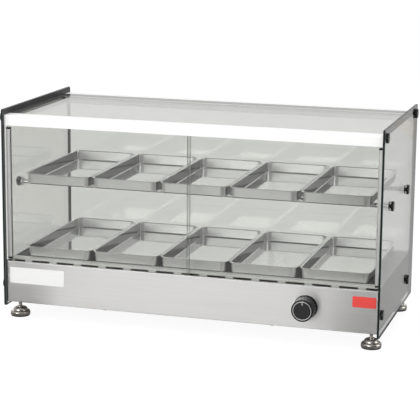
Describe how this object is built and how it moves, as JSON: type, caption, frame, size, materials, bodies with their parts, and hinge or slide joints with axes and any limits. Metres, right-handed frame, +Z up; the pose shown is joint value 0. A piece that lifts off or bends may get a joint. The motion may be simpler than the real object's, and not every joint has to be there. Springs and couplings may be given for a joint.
{
  "type": "heated display case",
  "caption": "Counter-top heated display case with glass walls, sliding doors, a warm base, lift-out pans in tiers, a thermostat knob and levelling feet.",
  "frame": {"origin": "centre of the object's footprint (knob and gland counted in), on the surface that its feet stand on", "axes": "+X to the right seen from the doors, +Y from the doors to the back, +Z up"},
  "size_m": [0.862, 0.4354, 0.473],
  "materials": {
    "clear_glass": "clear float glass, polished edges",
    "white_coated_aluminium": "white powder coat",
    "brushed_stainless": "satin",
    "pan_stainless": "bright rolled",
    "dark_coated_steel": "dark coat",
    "heater_steel": "plain",
    "bright_steel": "bright",
    "nickel_foot": "nickel plate",
    "foot_rubber": "matt",
    "door_aluminium": "satin anodised",
    "black_plastic": "gloss",
    "track_plastic": "matt",
    "thermostat_plastic": "matt"
  },
  "bodies": {
    "case": {"left_end_glass": "clear_glass", "right_end_glass": "clear_glass", "top_glass": "clear_glass", "rear_glass": "clear_glass", "rear_gasket": "foot_rubber", "front_top_rail": "white_coated_aluminium", "rear_top_rail": "white_coated_aluminium", "upper_door_track": "track_plastic", "lower_door_track": "track_plastic", "front_panel": "brushed_stainless", "rear_panel": "brushed_stainless", "left_side_panel": "brushed_stainless", "right_side_panel": "brushed_stainless", "bottom_cover": "brushed_stainless", "cover_screws": "bright_steel", "deck_plate": "dark_coated_steel", "heat_shield": "heater_steel", "heating_element": "heater_steel", "element_brackets": "heater_steel", "thermostat": "thermostat_plastic", "thermostat_bulb": "heater_steel", "terminal_block": "thermostat_plastic", "cable_gland": "black_plastic", "gland_nut": "black_plastic", "front_shelf_rod": "bright_steel", "rear_shelf_rod": "bright_steel", "rod_washers": "bright_steel", "weld_nuts": "bright_steel", "fixing_washers": "black_plastic", "fixing_screws": "bright_steel", "screw_caps": "black_plastic", "knob_bezel": "black_plastic", "foot_nuts": "bright_steel"},
    "left_door": {"left_door_glass": "clear_glass", "left_door_handle": "door_aluminium", "left_handle_plugs": "black_plastic"},
    "right_door": {"right_door_glass": "clear_glass", "right_door_handle": "door_aluminium", "right_handle_plugs": "black_plastic"},
    "knob": {"thermostat_knob": "black_plastic", "knob_ring": "bright_steel", "thermostat_shaft": "bright_steel"},
    "upper_pan_1": {"upper_pan_1": "pan_stainless"},
    "upper_pan_2": {"upper_pan_2": "pan_stainless"},
    "upper_pan_3": {"upper_pan_3": "pan_stainless"},
    "upper_pan_4": {"upper_pan_4": "pan_stainless"},
    "upper_pan_5": {"upper_pan_5": "pan_stainless"},
    "lower_pan_1": {"lower_pan_1": "pan_stainless"},
    "lower_pan_2": {"lower_pan_2": "pan_stainless"},
    "lower_pan_3": {"lower_pan_3": "pan_stainless"},
    "lower_pan_4": {"lower_pan_4": "pan_stainless"},
    "lower_pan_5": {"lower_pan_5": "pan_stainless"},
    "front_left_foot_body": {"front_left_foot": "nickel_foot", "front_left_foot_pad": "foot_rubber"},
    "front_right_foot_body": {"front_right_foot": "nickel_foot", "front_right_foot_pad": "foot_rubber"},
    "rear_left_foot_body": {"rear_left_foot": "nickel_foot", "rear_left_foot_pad": "foot_rubber"},
    "rear_right_foot_body": {"rear_right_foot": "nickel_foot", "rear_right_foot_pad": "foot_rubber"}
  },
  "joints": [
    {"name": "left_door_slide", "type": "slide", "parent": "case", "child": "left_door", "axis": [1, 0, 0], "range_m": [0, 0.4]},
    {"name": "right_door_slide", "type": "slide", "parent": "case", "child": "right_door", "axis": [-1, 0, 0], "range_m": [0, 0.4]},
    {"name": "knob_turn", "type": "hinge", "parent": "case", "child": "knob", "pos_m": [0.265, -0.18325, 0.085], "axis": [0, 1, 0], "range_deg": [0, 300]},
    {"name": "upper_pan_1_lift", "type": "slide", "parent": "case", "child": "upper_pan_1", "axis": [0, 0, 1], "range_m": [0, 0.05]},
    {"name": "upper_pan_2_lift", "type": "slide", "parent": "case", "child": "upper_pan_2", "axis": [0, 0, 1], "range_m": [0, 0.05]},
    {"name": "upper_pan_3_lift", "type": "slide", "parent": "case", "child": "upper_pan_3", "axis": [0, 0, 1], "range_m": [0, 0.05]},
    {"name": "upper_pan_4_lift", "type": "slide", "parent": "case", "child": "upper_pan_4", "axis": [0, 0, 1], "range_m": [0, 0.05]},
    {"name": "upper_pan_5_lift", "type": "slide", "parent": "case", "child": "upper_pan_5", "axis": [0, 0, 1], "range_m": [0, 0.05]},
    {"name": "lower_pan_1_lift", "type": "slide", "parent": "case", "child": "lower_pan_1", "axis": [0, 0, 1], "range_m": [0, 0.05]},
    {"name": "lower_pan_2_lift", "type": "slide", "parent": "case", "child": "lower_pan_2", "axis": [0, 0, 1], "range_m": [0, 0.05]},
    {"name": "lower_pan_3_lift", "type": "slide", "parent": "case", "child": "lower_pan_3", "axis": [0, 0, 1], "range_m": [0, 0.05]},
    {"name": "lower_pan_4_lift", "type": "slide", "parent": "case", "child": "lower_pan_4", "axis": [0, 0, 1], "range_m": [0, 0.05]},
    {"name": "lower_pan_5_lift", "type": "slide", "parent": "case", "child": "lower_pan_5", "axis": [0, 0, 1], "range_m": [0, 0.05]},
    {"name": "front_left_foot_screw", "type": "slide", "parent": "case", "child": "front_left_foot_body", "axis": [0, 0, 1], "range_m": [-0.01, 0]},
    {"name": "front_right_foot_screw", "type": "slide", "parent": "case", "child": "front_right_foot_body", "axis": [0, 0, 1], "range_m": [-0.01, 0]},
    {"name": "rear_left_foot_screw", "type": "slide", "parent": "case", "child": "rear_left_foot_body", "axis": [0, 0, 1], "range_m": [-0.01, 0]},
    {"name": "rear_right_foot_screw", "type": "slide", "parent": "case", "child": "rear_right_foot_body", "axis": [0, 0, 1], "range_m": [-0.01, 0]}
  ]
}
